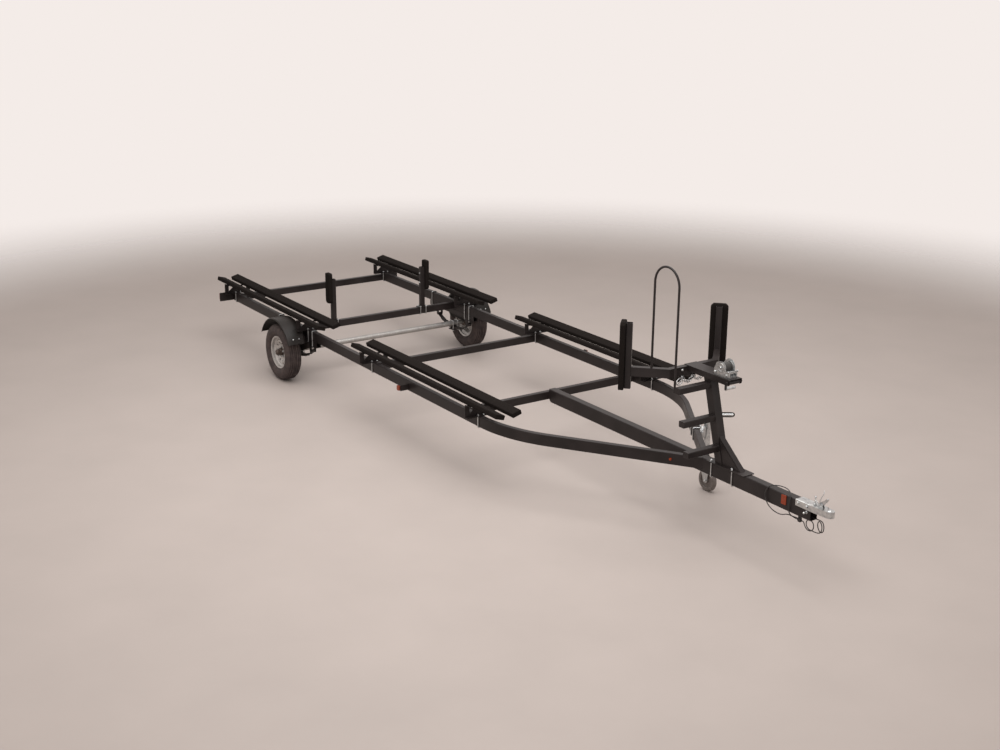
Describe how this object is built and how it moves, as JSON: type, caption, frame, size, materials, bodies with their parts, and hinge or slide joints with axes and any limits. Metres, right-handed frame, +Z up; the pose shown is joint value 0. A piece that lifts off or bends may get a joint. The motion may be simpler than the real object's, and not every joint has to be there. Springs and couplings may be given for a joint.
{
  "type": "boat trailer",
  "caption": "Single-axle boat trailer with a bent-rail A-frame, carpeted bunks over each rail, guide boards, a winch stand with steps, a swivel jack and a ball coupler.",
  "frame": {"origin": "on the ground under the middle of the whole trailer", "axes": "+X along the trailer towards the coupler, +Y to its left side, +Z up"},
  "size_m": [8.7728, 2.584, 2.1969],
  "materials": {
    "frame_paint": "satin powder coat",
    "carpet": "matte carpet",
    "zinc": "zinc plated",
    "galvanised": "hot-dip galvanised",
    "wheel_paint": "satin grey",
    "tyre_rubber": "matte",
    "fender_plastic": "grained",
    "red_lens": "glossy lens",
    "amber_lens": "glossy lens",
    "caster_plastic": "satin",
    "spring_steel": "painted spring steel",
    "webbing": "woven strap",
    "cable_jacket": "satin jacket",
    "wheel_steel": "machined"
  },
  "bodies": {
    "frame": {"access_steps": "frame_paint", "axle": "galvanised", "bow_arms": "frame_paint", "bunk_brackets_left": "frame_paint", "bunk_brackets_right": "frame_paint", "bunks_front_left": "carpet", "bunks_front_right": "carpet", "bunks_rear_left": "carpet", "bunks_rear_right": "carpet", "cable_clip": "cable_jacket", "cable_coiled": "cable_jacket", "cable_wrapped": "cable_jacket", "coupler": "zinc", "coupler_latch": "zinc", "crossmember_1": "frame_paint", "crossmember_2": "frame_paint", "crossmember_3": "frame_paint", "crossmember_4": "frame_paint", "fender_left": "fender_plastic", "fender_right": "fender_plastic", "frame_bolts": "zinc", "front_guide_pad_left": "carpet", "front_guide_pad_right": "carpet", "hand_rail": "frame_paint", "hanger_frame_left": "frame_paint", "hanger_frame_right": "frame_paint", "jack_mount": "zinc", "lamp_brackets": "frame_paint", "marker_lamps": "amber_lens", "rear_guide_pad_left": "carpet", "rear_guide_pad_right": "carpet", "rear_guide_posts": "frame_paint", "reflectors": "amber_lens", "side_rail_left": "frame_paint", "side_rail_right": "frame_paint", "spring_left": "spring_steel", "spring_right": "spring_steel", "tail_lamps": "red_lens", "tongue_beam": "frame_paint", "winch_frame": "zinc", "winch_stand": "frame_paint", "winch_table": "frame_paint"},
    "wheel_left": {"tyre_left": "tyre_rubber", "rim_left": "wheel_paint", "hub_left": "wheel_steel"},
    "wheel_right": {"tyre_right": "tyre_rubber", "rim_right": "wheel_paint", "hub_right": "wheel_steel"},
    "winch_spool": {"winch_drum": "zinc", "winch_strap": "webbing"},
    "winch_handle": {"winch_crank": "zinc"},
    "jack_swivel": {"jack_tube": "zinc", "jack_crank": "zinc"},
    "jack_slide": {"jack_leg": "zinc"},
    "caster_swivel": {"caster_fork": "zinc"},
    "caster_roll": {"caster_wheel": "caster_plastic"}
  },
  "joints": [
    {"name": "wheel_left_spin", "type": "hinge", "parent": "frame", "child": "wheel_left", "pos_m": [-2.4824, 1.195, 0.306], "axis": [0, 1, 0], "continuous": true},
    {"name": "wheel_right_spin", "type": "hinge", "parent": "frame", "child": "wheel_right", "pos_m": [-2.4824, -1.195, 0.306], "axis": [0, 1, 0], "continuous": true},
    {"name": "jack_fold", "type": "hinge", "parent": "frame", "child": "jack_swivel", "pos_m": [2.43355, 0.51501, 0.538], "axis": [0.5635, 0.8261, 0], "range_deg": [0, 90]},
    {"name": "jack_leg_slide", "type": "slide", "parent": "jack_swivel", "child": "jack_slide", "axis": [0, 0, -1], "range_m": [-0.03, 0.2]},
    {"name": "caster_turn", "type": "hinge", "parent": "jack_slide", "child": "caster_swivel", "pos_m": [2.43355, 0.51501, 0.2], "axis": [0, 0, 1], "continuous": true},
    {"name": "caster_spin", "type": "hinge", "parent": "caster_swivel", "child": "caster_roll", "pos_m": [2.47155, 0.51501, 0.1016], "axis": [0, 1, 0], "continuous": true},
    {"name": "winch_drum_spin", "type": "hinge", "parent": "frame", "child": "winch_spool", "pos_m": [3.1486, 0, 1.4], "axis": [0, 1, 0], "continuous": true},
    {"name": "winch_crank_spin", "type": "hinge", "parent": "frame", "child": "winch_handle", "pos_m": [3.0878, 0, 1.3544], "axis": [0, 1, 0], "continuous": true}
  ],
  "couplings": [
    {"joint": "winch_crank_spin", "follows": "winch_drum_spin", "ratio": -3.75}
  ]
}
